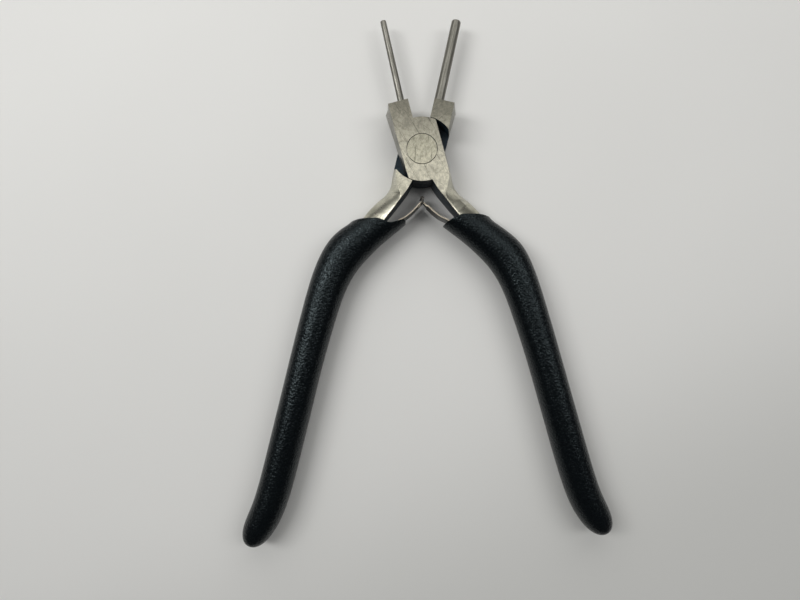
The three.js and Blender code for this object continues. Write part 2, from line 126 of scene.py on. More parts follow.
def mix_colour(material, factor, first, second, blend="MIX"):
    made = node(material, "ShaderNodeMix")
    made.data_type = "RGBA"
    made.blend_type = blend
    sockets = {"Factor": made.inputs[0], "A": made.inputs[6], "B": made.inputs[7]}
    for socket, value in (("Factor", factor), ("A", first), ("B", second)):
        if isinstance(value, bpy.types.NodeSocket):
            link(material, value, sockets[socket])
        elif isinstance(value, (int, float)):
            sockets[socket].default_value = value
        else:
            sockets[socket].default_value = (*value, 1)
    return made.outputs[2]


def bump(material, height, distance, strength=1.0, under=None):
    made = node(material, "ShaderNodeBump", Strength=strength, Distance=distance)
    link(material, height, made.inputs["Height"])
    if under:
        link(material, under, made.inputs["Normal"])
    return made.outputs["Normal"]


def polish(material, shader, pattern, low, high):
    """Roughness that runs from low to high with the pattern."""
    roughness = ramp(material, pattern, [(0.3, grey(low)), (0.7, grey(high))])
    link(material, roughness, shader.inputs["Roughness"])


def fade(material, value, start, end, full=1.0):
    """Grows smoothly from 0 where the value is at start to full where it is at end."""
    made = node(material, "ShaderNodeMapRange", interpolation_type="SMOOTHSTEP")
    link(material, value, made.inputs["Value"])
    made.inputs["From Min"].default_value = start
    made.inputs["From Max"].default_value = end
    made.inputs["To Max"].default_value = full
    return made.outputs["Result"]


def part_of(material, vector, axis):
    split = node(material, "ShaderNodeSeparateXYZ")
    link(material, vector, split.inputs[0])
    return split.outputs[axis]


# ---- materials ----

# Painted shade on the ground faces: their colour darkens along Y towards the jaws, standing in for light
# falling off there.
PAINTED_SHADE_START, PAINTED_SHADE_END = -6 * MM, 16 * MM   # along Y, where the ground faces grow darker
PAINTED_SHADE_GREY = 0.18                             # what they are multiplied by at full shade


def ground_steel_with_painted_shade(name, tint, turn, painted_jaw_shade):
    """Surface ground steel: fine grinding grain, mottling, stains and a few long hairline scratches.

    It is darkened towards the jaws by painted shade, as deep as its last argument asks."""
    material, shader = new_material(name, Metallic=1.0)
    grind = noise(material, object_place(material, (9000, 420, 900), turn), 1.0, 3.0, 0.65)
    cross = noise(material, object_place(material, (140, 3600, 140), turn + 0.75), 1.0, 1.0)
    long_cut = noise(material, object_place(material, (3100, 95, 140), turn - 0.42), 1.0, 1.0)
    mottle = noise(material, object_place(material), 1300, 4.0, 0.65, 0.4)
    stain = noise(material, object_place(material), 330, 3.0, 0.6, 0.5)
    base = ramp(material, stain, [(0.34, tuple(c * 0.78 for c in tint)), (0.58, tint)])
    lines = ramp(material, grind, [(0.34, grey(0.70)), (0.60, grey(1.0))])
    cloud = ramp(material, mottle, [(0.34, grey(0.50)), (0.60, grey(1.0))])
    hair = ramp(material, cross, [(0.675, grey(1.0)), (0.72, grey(0.38))])
    cuts = ramp(material, long_cut, [(0.645, grey(1.0)), (0.69, grey(0.30))])
    colour = mix_colour(material, 0.75, base, lines, "MULTIPLY")
    colour = mix_colour(material, 0.7, colour, cloud, "MULTIPLY")
    colour = mix_colour(material, 0.42, colour, hair, "MULTIPLY")
    colour = mix_colour(material, 0.62, colour, cuts, "MULTIPLY")
    along = part_of(material, object_place(material), "Y")
    # Painted shade: the colour darkens towards the jaws along Y.
    painted_shade_amount = fade(material, along, PAINTED_SHADE_START, PAINTED_SHADE_END, painted_jaw_shade)
    painted_shade_colour = mix_colour(material, painted_shade_amount, colour, grey(PAINTED_SHADE_GREY), "MULTIPLY")
    link(material, painted_shade_colour, shader.inputs["Base Color"])
    polish(material, shader, mottle, 0.40, 0.27)
    relief = bump(material, grind, 0.016 * MM, 0.6)
    link(material, bump(material, long_cut, 0.02 * MM, 0.5, relief), shader.inputs["Normal"])
    return material


def satin_steel(name, dark, light):
    """Tumbled forged steel of the outer sides: soft satin with slow waves and fine pits."""
    material, shader = new_material(name, Metallic=1.0)
    wave = noise(material, object_place(material), 330, 3.0, 0.5)
    pit = noise(material, object_place(material), 2600, 3.0, 0.6)
    base = ramp(material, wave, [(0.3, dark), (0.7, light)])
    pits = ramp(material, pit, [(0.30, grey(0.60)), (0.48, grey(1.0))])
    link(material, mix_colour(material, 0.6, base, pits, "MULTIPLY"), shader.inputs["Base Color"])
    polish(material, shader, wave, 0.34, 0.25)
    slow = bump(material, wave, 0.05 * MM, 0.5)
    link(material, bump(material, pit, 0.012 * MM, 0.6, slow), shader.inputs["Normal"])
    return material


def forge_scale():
    """Blue-black oxide left in the recesses and on the inner walls."""
    material, shader = new_material("blue_black_oxide", Specular_IOR_Level=0.16)
    patch = noise(material, object_place(material), 900, 4.0, 0.6)
    grit = noise(material, object_place(material), 6000, 2.0, 0.5)
    base = ramp(material, patch, [(0.38, (0.010, 0.018, 0.026)), (0.72, (0.026, 0.043, 0.057))])
    link(material, base, shader.inputs["Base Color"])
    polish(material, shader, patch, 0.34, 0.52)
    link(material, bump(material, grit, 0.02 * MM, 0.6), shader.inputs["Normal"])
    return material


def rod_steel(name, turn):
    """Drawn rod: fine rings round it from turning and long faint draw lines."""
    material, shader = new_material(name, Metallic=1.0)
    rings = noise(material, object_place(material, (500, 5000, 500), turn), 1.0, 3.0)
    draw = noise(material, object_place(material, (3600, 160, 3600), turn), 1.0, 2.0)
    base = ramp(material, draw, [(0.34, (0.165, 0.16, 0.138)), (0.66, (0.285, 0.276, 0.246))])
    bands = ramp(material, rings, [(0.3, grey(0.82)), (0.6, grey(1.0))])
    link(material, mix_colour(material, 0.6, base, bands, "MULTIPLY"), shader.inputs["Base Color"])
    polish(material, shader, draw, 0.46, 0.36)
    link(material, bump(material, rings, 0.008 * MM, 0.5), shader.inputs["Normal"])
    return material


def spring_steel(name, light, dark):
    """Blued spring strip, straw coloured where it was sheared."""
    material, shader = new_material(name, Metallic=1.0)
    patch = noise(material, object_place(material), 700, 3.0, 0.55)
    fine = noise(material, object_place(material, (3000, 3000, 14000)), 1.0, 2.0)
    base = ramp(material, patch, [(0.32, dark), (0.70, light)])
    lines = ramp(material, fine, [(0.3, grey(0.8)), (0.6, grey(1.0))])
    link(material, mix_colour(material, 0.5, base, lines, "MULTIPLY"), shader.inputs["Base Color"])
    polish(material, shader, patch, 0.42, 0.30)
    link(material, bump(material, fine, 0.006 * MM, 0.5), shader.inputs["Normal"])
    return material


PEBBLES_PER_METRE = 1900


def soft_plastic():
    """Black soft plastic with a fine pebbled grain that breaks the light into specks."""
    material, shader = new_material(
        "black_soft_plastic", Specular_IOR_Level=0.27, Specular_Tint=(0.78, 0.95, 1.0, 1.0),
    )
    place = object_place(material)
    pebble = node(material, "ShaderNodeTexVoronoi", feature="F1")
    pebble.inputs["Scale"].default_value = PEBBLES_PER_METRE
    link(material, place, pebble.inputs["Vector"])
    dome = ramp(material, pebble.outputs["Distance"], [(0.05, grey(1.0)), (0.75, grey(0.0))])
    uneven = noise(material, place, 1500, 3.0, 0.6)
    slow = noise(material, place, 130, 3.0, 0.5)
    depth = ramp(material, slow, [(0.35, (0.0004, 0.0008, 0.0014)), (0.75, (0.0010, 0.0017, 0.0024))])
    link(material, mix_colour(material, dome, depth, (0.0015, 0.0023, 0.0031)), shader.inputs["Base Color"])
    polish(material, shader, uneven, 0.20, 0.33)
    relief = bump(material, dome, 0.075 * MM, 0.95)
    link(material, bump(material, uneven, 0.07 * MM, 0.6, relief), shader.inputs["Normal"])
    return material


# The last argument is how deep the painted shade towards the jaws goes.
FRONT_FACE = ground_steel_with_painted_shade("ground_steel_front", (0.70, 0.67, 0.545), -0.12, 0.68)
BACK_FACE = ground_steel_with_painted_shade("ground_steel_back", (0.69, 0.665, 0.54), 1.28, 0.76)
RIVET_FACE = ground_steel_with_painted_shade("ground_steel_rivet", (0.64, 0.615, 0.485), 0.5, 0.60)
SATIN = satin_steel("satin_forged_steel", (0.42, 0.41, 0.335), (0.66, 0.64, 0.53))
# A darker copy of the satin steel, put on the head's drafted sides as painted shade; they are the same
# forged steel as the shank sides.
PAINTED_SHADE_SATIN = satin_steel("satin_steel_painted_shade", (0.20, 0.195, 0.165), (0.31, 0.30, 0.26))
SCALE = forge_scale()
ROD_THIN = rod_steel("drawn_rod_steel_thin", -0.278)
ROD_THICK = rod_steel("drawn_rod_steel_thick", 0.247)
BLUED = spring_steel("blued_spring_steel", (0.09, 0.085, 0.078), (0.025, 0.024, 0.022))
STRAW = spring_steel("sheared_spring_edge", (0.58, 0.52, 0.42), (0.34, 0.30, 0.24))
PLASTIC = soft_plastic()


# ---- modelling helpers ----

DOUBLES = 1e-7      # points nearer than this are one


def deselect():
    """Leaves edit mode and selects nothing."""
    if bpy.context.object and bpy.context.object.mode != "OBJECT":
        bpy.ops.object.mode_set(mode="OBJECT")
    bpy.ops.object.select_all(action="DESELECT")


def take(name):
    """Names the primitive just added and opens it in edit mode."""
    piece = bpy.context.object
    piece.name = name
    piece.data.name = name
    bpy.ops.object.mode_set(mode="EDIT")
    return piece


def choose(piece, test, kind="FACE"):
    """Selects in edit mode the faces that pass the test by middle and normal, or the edges by middle."""
    bpy.ops.mesh.select_mode(type=kind)
    bpy.ops.mesh.select_all(action="DESELECT")
    mesh = bmesh.from_edit_mesh(piece.data)
    if kind == "FACE":
        for face in mesh.faces:
            if test(face.calc_center_median(), face.normal):
                face.select_set(True)
    else:
        for edge in mesh.edges:
            if test((edge.verts[0].co + edge.verts[1].co) / 2, edge):
                edge.select_set(True)
    mesh.select_flush_mode()
    bmesh.update_edit_mesh(piece.data)


def pick(piece):
    """Makes the piece the only selected object and the active one."""
    bpy.ops.object.select_all(action="DESELECT")
    piece.select_set(True)
    bpy.context.view_layer.objects.active = piece


def settle(piece):
    """Leaves edit mode and puts the object's own place into its mesh."""
    if piece.mode != "OBJECT":
        bpy.ops.object.mode_set(mode="OBJECT")
    pick(piece)
    bpy.ops.object.transform_apply(location=True, rotation=True, scale=True)


def modifier(piece, kind, **values):
    """Adds a modifier and applies it."""
    pick(piece)
    made = piece.modifiers.new(kind.title(), kind)
    for key, value in values.items():
        setattr(made, key, value)
    bpy.ops.object.modifier_apply(modifier=made.name)


def close_up(piece):
    """Merges doubles and turns the faces outwards."""
    pick(piece)
    bpy.ops.object.mode_set(mode="EDIT")
    bpy.ops.mesh.select_all(action="SELECT")
    bpy.ops.mesh.remove_doubles(threshold=DOUBLES)
    bpy.ops.mesh.normals_make_consistent(inside=False)
    bpy.ops.object.mode_set(mode="OBJECT")


def smooth(piece, angle):
    """Shades smooth all but the edges sharper than the angle, in degrees."""
    pick(piece)
    bpy.ops.object.shade_smooth_by_angle(angle=math.radians(angle))


def paint(piece, materials, index_of):
    """Gives the piece its materials, and each face the one that its middle and normal ask for."""
    piece.data.materials.clear()
    for material in materials:
        piece.data.materials.append(material)
    for face in piece.data.polygons:
        face.material_index = index_of(face.center, face.normal)


def place_in_lever(piece, lever):
    """Moves a piece drawn in a lever's own closed frame to its place at rest."""
    piece.matrix_world = lever @ piece.matrix_world
    settle(piece)


def stand_for(piece, cad_node, body):
    """Hides the CAD node that the piece stands for and puts the piece on its body."""
    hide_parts(cad_node)
    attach(piece, body)


# ---- levers ----

EDGE_BREAK = 0.13 * MM
FLAT_MERGE = 0.05 * MM      # faceting finer than this is merged away before the edges are broken
SHOULDER_REACH = 9.4        # just past the hollow shoulders' radius
RIM_REACH = 9.3             # just past the disc's radius
RECESS_HEIGHT = 2.2         # from the parting plane; flat faces nearer to it lie in the recess
LAP_HEIGHT = 0.6            # the lap face lies within this of the parting plane
SHANK_START = -6.4          # where the head ends and the shank starts, along Y
FLAT = 0.93                 # a face whose normal's Z is past this counts as flat
EDGE_HEIGHT = 4.9           # from the parting plane; only broken edges slope beyond it
GROUND, SATIN_SIDE, OXIDE, PAINTED_SHADE_SIDE = range(4)


def lever(name, lever_frame, face_steel):
    """The forging, with its machined edges broken and each surface given its own finish, but the head's
    sides a darker copy of the satin steel that is painted shade.
    """
    deselect()
    piece = bpy.data.objects.new(name + "_forging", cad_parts[name].data.copy())
    piece.data.name = piece.name
    bpy.context.collection.objects.link(piece)
    close_up(piece)
    bpy.ops.object.mode_set(mode="EDIT")
    bpy.ops.mesh.select_all(action="SELECT")
    bpy.ops.mesh.tris_convert_to_quads(face_threshold=math.radians(9), shape_threshold=math.radians(70))
    bpy.ops.mesh.dissolve_limited(angle_limit=math.radians(1.0))
    bpy.ops.mesh.select_all(action="SELECT")
    bpy.ops.mesh.remove_doubles(threshold=FLAT_MERGE)
    bpy.ops.object.mode_set(mode="OBJECT")
    modifier(
        piece, "BEVEL", width=EDGE_BREAK, segments=2, limit_method="ANGLE",
        angle_limit=math.radians(35), use_clamp_overlap=True, harden_normals=False,
    )
    smooth(piece, 34)
    modifier(piece, "WEIGHTED_NORMAL", weight=90, keep_sharp=True)
    inverse = lever_frame.inverted()
    turn = inverse.to_3x3()

    def finish(middle, normal):
        at = inverse @ middle / MM
        facing = turn @ normal
        level = abs(facing.z)
        height = abs(at.z - MID / MM)
        out = Vector((at.x, at.y, 0))
        broken_edge = 0.25 < level < FLAT and height > EDGE_HEIGHT
        if broken_edge and at.x < -5.2 and at.y > -5:
            return OXIDE
        if level > FLAT:
            return GROUND if height > RECESS_HEIGHT else OXIDE
        lap_face = height < LAP_HEIGHT and level > 0.5
        shoulder = out.length < SHOULDER_REACH and facing.dot(out.normalized()) < -0.6
        inner_side = at.y < -5.0 and facing.x < -0.35 and at.x > -6
        disc_rim = at.y < -6.5 and out.length < RIM_REACH and facing.y < -0.5
        if lap_face or shoulder or inner_side or disc_rim:
            return OXIDE
        # The head's sides get the darker satin copy, which is painted shade.
        return SATIN_SIDE if at.y < SHANK_START else PAINTED_SHADE_SIDE

    paint(piece, [face_steel, SATIN, SCALE, PAINTED_SHADE_SATIN], finish)
    return piece


front_forging = lever("front_lever", FRONT, FRONT_FACE)
stand_for(front_forging, "front_lever", "front_half")
back_forging = lever("back_lever", BACK, BACK_FACE)
stand_for(back_forging, "back_lever", "back_half")


# ---- pivot rivet ----

RIVET_HEAD, RIVET_SHANK, RIVET_TAIL = 4.15 * MM, 3.0 * MM, 3.6 * MM   # radii
TAIL_HEIGHT = 1.2 * MM
HEAD_HEIGHT = 2.2 * MM
RIVET_EDGE = 0.08 * MM


def pivot():
    """Flush rivet: a head ground level with the flat face, a shank and a smaller tail on the back."""
    deselect()
    lift = TAIL_HEIGHT / 2
    bpy.ops.mesh.primitive_cylinder_add(
        vertices=96, radius=RIVET_TAIL, depth=TAIL_HEIGHT, location=(0, 0, lift),
    )
    piece = take("pivot_rivet_steel")
    choose(piece, lambda at, normal: normal.z > 0.9)
    bpy.ops.mesh.inset(thickness=RIVET_TAIL - RIVET_SHANK)
    shank_height = THICKNESS - TAIL_HEIGHT - HEAD_HEIGHT
    bpy.ops.mesh.extrude_region_move(TRANSFORM_OT_translate={"value": (0, 0, shank_height)})
    bpy.ops.mesh.extrude_region_move(TRANSFORM_OT_translate={"value": (0, 0, 0)})
    bpy.ops.transform.resize(value=(RIVET_HEAD / RIVET_SHANK, RIVET_HEAD / RIVET_SHANK, 1))
    bpy.ops.mesh.extrude_region_move(TRANSFORM_OT_translate={"value": (0, 0, HEAD_HEIGHT)})
    ends = {round(-lift / MM, 2), round((THICKNESS - lift) / MM, 2)}
    choose(piece, lambda at, edge: all(round(v.co.z / MM, 2) in ends for v in edge.verts), "EDGE")
    bpy.ops.mesh.bevel(offset=RIVET_EDGE, segments=2, affect="EDGES")
    settle(piece)
    close_up(piece)
    smooth(piece, 35)
    modifier(piece, "WEIGHTED_NORMAL", weight=90, keep_sharp=True)
    paint(piece, [RIVET_FACE], lambda at, normal: 0)
    return piece


stand_for(pivot(), "pivot_rivet", "back_half")


# ---- jaw rods ----

BLOCK_TOP = 14.4
PIN_TAIL = 4.3      # length of rod pressed into its block
ROD_STEPS = 12


def rod(name, foot, tip, base_radius, tip_radius, chamfer, steel, lever_frame):
    """A round mandrel: tapered a little, chamfered and polished over at its tip."""
    deselect()
    start, end = Vector((*foot, 0)) * MM, Vector((*tip, 0)) * MM
    along = end - start
    length = along.length
    tail = PIN_TAIL * MM
    bpy.ops.mesh.primitive_cylinder_add(
        vertices=48, radius=base_radius * MM, depth=tail, location=(0, 0, -tail / 2),
    )
    piece = take(name)
    choose(piece, lambda at, normal: normal.z > 0.9)
    radii = [base_radius + (tip_radius - base_radius) * step / ROD_STEPS for step in range(ROD_STEPS + 1)]
    for before, after in zip(radii, radii[1:]):
        bpy.ops.mesh.extrude_region_move(TRANSFORM_OT_translate={"value": (0, 0, length / ROD_STEPS)})
        bpy.ops.transform.resize(value=(after / before, after / before, 1))
    top = max(v.co.z for v in bmesh.from_edit_mesh(piece.data).verts)
    choose(piece, lambda at, edge: all(abs(v.co.z - top) < 1e-6 for v in edge.verts), "EDGE")
    bpy.ops.mesh.bevel(offset=chamfer * MM, segments=3, profile=0.42, affect="EDGES")
    bpy.ops.object.mode_set(mode="OBJECT")
    upright = Vector((0, 0, 1)).rotation_difference(along.normalized()).to_matrix().to_4x4()
    piece.matrix_world = Matrix.Translation(start + Vector((0, 0, MID))) @ upright @ piece.matrix_world
    place_in_lever(piece, lever_frame)
    close_up(piece)
    smooth(piece, 35)
    paint(piece, [steel], lambda at, normal: 0)
    return piece


stand_for(
    rod("thin_mandrel", (-1.87, BLOCK_TOP), (-0.96, 39.4), 0.97, 0.83, 0.28, ROD_THIN, FRONT),
    "thin_jaw_pin", "front_half",
)
stand_for(
    rod("thick_mandrel", (-1.6, BLOCK_TOP), (-1.43, 39.15), 1.4, 1.33, 0.42, ROD_THICK, BACK),
    "thick_jaw_pin", "back_half",
)


# ---- spring leaves ----

LEAF_POINTS = [
    (8.75, -30.1), (8.0, -28.0), (5.25, -24.5), (2.32, -20.8), (0.53, -19.25),
    (-0.86, -17.6), (-1.93, -15.85), (-3.3, -13.55),
]
LEAF_THICKNESS = 0.42
LEAF_STEPS = 44
CURL_PLACE = (-3.3, -13.1)
LEAF_HALF = 3.2                     # half widths
FOOT_HALF = 2.3
SLOT_HALF = 1.65
NECK_HALF = 1.3
CURL_HALF = 2.0
HOOK_LENGTH = 2.1
FOOT_SHARE = 0.42                   # share of the leaf's length that is its narrow foot
LEAF_EDGE = 0.12 * MM
CURL_CENTRE = Vector((0.1, 0.9))    # from the end of the leaf
CURL_RADIUS = 0.36
CURL_START = math.radians(-112)
CURL_TURN = math.radians(300)
CURL_STEPS = 16
NECK_PAST_END = 0.35                # how far up the curl the narrow neck goes on
BARE_EDGE_FROM_CURL = 1.1           # nearer to the curl the sheared edges are blued too


def through(points, steps):
    """Points spaced evenly along a smooth curve through the given ones."""
    fine = []
    ends = [Vector(p) for p in points]
    padded = [ends[0] * 2 - ends[1], *ends, ends[-1] * 2 - ends[-2]]
    for a, b, c, d in zip(padded, padded[1:], padded[2:], padded[3:]):
        for i in range(24):
            t = i / 24
            fine.append(
                ((b * 2) + (c - a) * t + (a * 2 - b * 5 + c * 4 - d) * t * t
                 + (b * 3 - a - c * 3 + d) * t ** 3) / 2
            )
    fine.append(ends[-1])
    lengths = [0.0]
    for a, b in zip(fine, fine[1:]):
        lengths.append(lengths[-1] + (b - a).length)
    spaced = []
    k = 0
    for i in range(steps + 1):
        want = lengths[-1] * i / steps
        while k < len(fine) - 2 and lengths[k + 1] < want:
            k += 1
        t = (want - lengths[k]) / (lengths[k + 1] - lengths[k])
        spaced.append(fine[k].lerp(fine[k + 1], t))
    return spaced, lengths[-1]


def in_plan(lever_frame, point):
    """A point on the parting plane, from a lever's closed plan to its place at rest."""
    return lever_frame @ Vector((point[0] * MM, point[1] * MM, MID))


def leaf(name, hooked, lever_frame):
    """A sheared strip, pulled out rib by rib along its curve, with its slot or its neck and curl cut in."""
    deselect()
    path, length = through(LEAF_POINTS, LEAF_STEPS)
    hook_from = length - HOOK_LENGTH
    if hooked:
        centre = path[-1] + CURL_CENTRE
        for i in range(CURL_STEPS + 1):
            angle = CURL_START + CURL_TURN * i / CURL_STEPS
            path.append(centre + CURL_RADIUS * Vector((math.cos(angle), math.sin(angle))))
    columns = sorted({
        s * h for s in (-1, 1) for h in (LEAF_HALF, FOOT_HALF, SLOT_HALF, NECK_HALF, CURL_HALF)
    })
    bpy.ops.mesh.primitive_plane_add(size=1)
    piece = take(name)
    bpy.ops.transform.resize(value=((path[1] - path[0]).length * MM, 2 * LEAF_HALF * MM, 1))
    for column in columns[1:-1]:
        bpy.ops.mesh.select_all(action="SELECT")
        bpy.ops.mesh.bisect(plane_co=(0, column * MM, 0), plane_no=(0, 1, 0))
    mesh = bmesh.from_edit_mesh(piece.data)
    for vert in mesh.verts:
        at = path[0] if vert.co.x < 0 else path[1]
        vert.co = Vector((at.x * MM, at.y * MM, MID + vert.co.y))
    bmesh.update_edit_mesh(piece.data)
    tip = path[1]
    choose(piece, lambda at, edge: (
        all((v.co.xy / MM - tip).length < 1e-4 for v in edge.verts)
    ), "EDGE")
    for before, after in zip(path[1:], path[2:]):
        step = after - before
        bpy.ops.mesh.extrude_region_move(
            TRANSFORM_OT_translate={"value": (step.x * MM, step.y * MM, 0)},
        )
    travelled = [0.0]
    for a, b in zip(path, path[1:]):
        travelled.append(travelled[-1] + (b - a).length)

    def along(at):
        flat = at.xy / MM
        best = min(range(len(path) - 1), key=lambda i: ((path[i] + path[i + 1]) / 2 - flat).length)
        return (travelled[best] + travelled[best + 1]) / 2

    def spare(at, normal):
        across = abs(at.z - MID) / MM
        where = along(at)
        if where < FOOT_SHARE * length:
            return across > FOOT_HALF
        if where < hook_from:
            return False
        if not hooked:
            return across < SLOT_HALF
        if where < length + NECK_PAST_END:
            return across > NECK_HALF
        return across > CURL_HALF

    choose(piece, spare)
    bpy.ops.mesh.delete(type="FACE")
    settle(piece)
    close_up(piece)
    modifier(piece, "SOLIDIFY", thickness=LEAF_THICKNESS * MM, offset=0.0, use_even_offset=True)
    close_up(piece)
    modifier(
        piece, "BEVEL", width=LEAF_EDGE, segments=2, limit_method="ANGLE",
        angle_limit=math.radians(50), use_clamp_overlap=True,
    )
    place_in_lever(piece, lever_frame)
    curl = in_plan(lever_frame, CURL_PLACE).xy
    close_up(piece)
    smooth(piece, 40)
    paint(piece, [BLUED, STRAW], lambda at, normal: (
        1 if abs(normal.z) > 0.9 and (at.xy - curl).length > BARE_EDGE_FROM_CURL * MM else 0
    ))
    return piece


def spring_leaf(name, cad_node, hooked, lever_frame):
    """A leaf whose root sits at its handle, standing for its CAD node, with its place baked into its mesh.
    """
    piece = leaf(name, hooked, lever_frame)
    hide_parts(cad_node)
    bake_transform(piece)
    return piece


spring_leaf("slotted_leaf", "left_spring_leaf", False, BACK)
spring_leaf("hooked_leaf", "right_spring_leaf", True, FRONT)


# ---- grips ----

# Ribs across a grip from its end to its mouth: inner edge, outer edge, share of the full height.
GRIP_RIBS = [
    ((22.0, -118.75), (24.0, -118.3), 0.30),
    ((21.2, -118.65), (24.7, -117.9), 0.50),
    ((19.9, -118.0), (25.5, -116.9), 0.74),
    ((18.2, -116.1), (26.1, -114.6), 0.90),
    ((16.9, -113.0), (25.7, -111.2), 0.97),
    ((15.6, -108.6), (24.8, -107.2), 1.0),
    ((14.85, -101.0), (24.3, -100.6), 1.0),
    ((14.6, -90.0), (24.1, -89.9), 1.0),
    ((14.4, -77.0), (23.85, -76.9), 1.0),
    ((14.2, -64.0), (23.65, -63.8), 1.0),
    ((13.6, -54.0), (23.4, -53.6), 1.0),
    ((13.0, -46.0), (23.1, -45.0), 1.0),
    ((12.1, -41.0), (22.6, -38.8), 1.0),
    ((10.6, -36.4), (21.4, -32.8), 1.0),
    ((8.2, -32.2), (19.6, -28.6), 1.0),
    ((5.6, -28.1), (17.3, -26.1), 1.0),
    ((2.7, -24.4), (15.5, -24.3), 1.0),
    ((1.2, -22.5), (14.5, -23.4), 1.0),
    ((0.5, -21.6), (14.35, -22.9), 1.0),
    ((0.3, -21.3), (14.2, -22.7), 0.985),
]
# Ribs of the hollow, from the mouth to its end: inner edge, outer edge, half height in mm.
HOLLOW_RIBS = [
    ((1.0, -21.4), (13.4, -22.6), 4.5),
    ((1.3, -21.7), (13.3, -22.9), 4.2),
    ((2.3, -22.8), (13.7, -23.6), 4.0),
    ((6.5, -28.2), (15.6, -26.7), 3.9),
    ((8.9, -32.1), (16.6, -29.9), 3.6),
    ((12.0, -36.3), (18.9, -33.6), 3.4),
    ((14.2, -41.0), (20.9, -39.2), 3.2),
    ((15.2, -54.0), (21.4, -53.8), 3.1),
    ((15.9, -77.0), (21.9, -76.9), 3.0),
    ((16.6, -101.0), (22.3, -100.8), 2.9),
    ((17.0, -105.6), (22.3, -105.2), 2.7),
]
GRIP_SLIP = 0.9         # how far the left grip stands back from even, and the right one forward
GRIP_SLIP_GAIN = 1.4    # the slip is complete where the squared share of ribs times this reaches 1
GRIP_LEVELS = 2
SECTION_CUT = 0.96      # how much of each half side of the square section is rounded off
SECTION_STEPS = 11

# Outer edges at the shoulder that are each grip's own, by rib.
RIGHT_SHOULDER = {14: (19.0, -29.1), 15: (16.9, -26.4), 16: (15.2, -24.5)}
LEFT_SHOULDER = {
    15: (17.5, -26.0), 16: (15.8, -24.1), 17: (14.9, -23.2), 18: (14.55, -22.7), 19: (14.4, -22.45),
}

# Rims of the two mouths, from the inner side to the outer side.
RIGHT_RIM = [
    (-4.0, -22.6), (-0.5, -22.2), (1.3, -21.3), (3.3, -20.6), (6.2, -20.1), (11.4, -21.3), (14.1, -22.5),
    (18.0, -24.6),
]
LEFT_RIM = [
    (-4.0, -22.4), (-0.9, -21.3), (-0.1, -20.2), (0.8, -19.6), (2.3, -20.7), (4.1, -21.8), (5.6, -21.6),
    (7.6, -21.3), (12.6, -22.5), (15.1, -23.6), (18.0, -25.2),
]
MOUTH = (Vector((0.3, -21.3)), Vector((14.2, -22.7)))
MOUTH_WAY = Vector((-0.62, 0.78))   # along the grip, out of its mouth
MOUTH_REACH = 3.2                   # how far back the sleeve is drawn by its rim
MOUTH_TRIES = 20                    # times that a slide is worked out again on the slanting rim


def rim_height(rim, x):
    """Where the rim lies at x, along Y."""
    for (x0, y0), (x1, y1) in zip(rim, rim[1:]):
        if x <= x1:
            return y0 + (y1 - y0) * max(0.0, (x - x0) / (x1 - x0))
    return rim[-1][1]


def shape_mouth(piece, rim):
    """Slides the points near the mouth along the sleeve, so that its edge follows the rim."""
    mesh = bmesh.from_edit_mesh(piece.data)
    for vert in mesh.verts:
        at = vert.co.xy / MM
        line = MOUTH[0].lerp(MOUTH[1], (at.x - MOUTH[0].x) / (MOUTH[1].x - MOUTH[0].x)).y
        share = min(1.0, (at.y - line) / MOUTH_REACH + 1)
        if share <= 0:
            continue
        share = share * share * (3 - 2 * share)
        slide = 0.0
        for _ in range(MOUTH_TRIES):
            slide = (rim_height(rim, at.x + MOUTH_WAY.x * slide) - line) / MOUTH_WAY.y
        vert.co.xy += MOUTH_WAY * slide * share * MM
    bmesh.update_edit_mesh(piece.data)


def grip(name, slip, rim, shoulder, lever_frame):
    """A sleeve pulled out of a rounded section rib by rib: from end to mouth, then down its hollow."""
    deselect()
    stations = []
    for i, (inner, outer, height) in enumerate(GRIP_RIBS):
        outer = shoulder.get(i, outer)
        share = 1 - i / (len(GRIP_RIBS) - 1)
        back = Vector((0, slip * min(1.0, share * share * GRIP_SLIP_GAIN)))
        stations.append((Vector(inner) - back, Vector(outer) - back, height * MID / MM))
    stations += [(Vector(inner), Vector(outer), height) for inner, outer, height in HOLLOW_RIBS]
    bpy.ops.mesh.primitive_plane_add(size=2 * MM, rotation=(math.pi / 2, 0, 0))
    piece = take(name)
    bpy.ops.mesh.select_mode(type="VERT")
    bpy.ops.mesh.select_all(action="SELECT")
    bpy.ops.mesh.bevel(offset=SECTION_CUT * MM, segments=SECTION_STEPS, affect="VERTICES")
    settle(piece)
    bpy.ops.object.mode_set(mode="EDIT")
    bpy.ops.mesh.select_mode(type="FACE")
    bpy.ops.mesh.select_all(action="SELECT")
    half, tall, angle, centre = 1.0, 1.0, 0.0, Vector((0, 0))
    for i, (inner, outer, height) in enumerate(stations):
        middle = (inner + outer) / 2
        reach = (outer - inner) / 2
        move = (middle - centre) * MM
        if i == 0:
            bpy.ops.transform.translate(value=(move.x, move.y, MID))
        else:
            bpy.ops.mesh.extrude_region_move(TRANSFORM_OT_translate={"value": (move.x, move.y, 0)})
        pivot_at = (middle.x * MM, middle.y * MM, MID)
        bpy.ops.transform.rotate(value=angle, orient_axis="Z", center_override=pivot_at)
        bpy.ops.transform.resize(
            value=(reach.length / half, 1, height / tall), center_override=pivot_at,
        )
        new_angle = math.atan2(reach.y, reach.x)
        bpy.ops.transform.rotate(value=-new_angle, orient_axis="Z", center_override=pivot_at)
        half, tall, angle, centre = reach.length, height, new_angle, middle
    shape_mouth(piece, rim)
    settle(piece)
    place_in_lever(piece, lever_frame)
    close_up(piece)
    modifier(piece, "SUBSURF", levels=GRIP_LEVELS, render_levels=GRIP_LEVELS)
    smooth(piece, 60)
    paint(piece, [PLASTIC], lambda at, normal: 0)
    return piece


